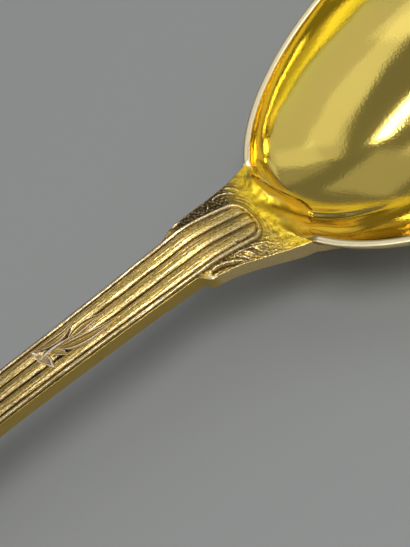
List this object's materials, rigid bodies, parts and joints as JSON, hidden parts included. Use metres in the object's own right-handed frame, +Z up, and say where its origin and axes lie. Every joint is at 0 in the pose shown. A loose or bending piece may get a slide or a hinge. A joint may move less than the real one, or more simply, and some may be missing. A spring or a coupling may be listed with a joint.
{
  "type": "serving spoon",
  "caption": "Serving spoon with a deep egg-shaped bowl soldered to a reeded stem with notched shoulders, a small leaf sprig and a rounded handle end.",
  "frame": {"origin": "centre of the spoon's length and width, on the surface it rests on", "axes": "+X along the spoon towards the tip of the bowl, +Z up out of the open bowl"},
  "size_m": [0.242, 0.051, 0.0212],
  "materials": {
    "polished_gilt": "gilt silver, polished, bright",
    "struck_gilt": "gilt silver, struck, satin with darkened grooves",
    "solder_gilt": "gilt solder, smooth and slightly lumpy",
    "cast_gilt": "gilt silver casting, worn pale on its edges"
  },
  "bodies": {
    "root": {"bowl": "polished_gilt", "handle": "struck_gilt", "solder_seam": "solder_gilt", "sprig": "cast_gilt"}
  },
  "joints": []
}
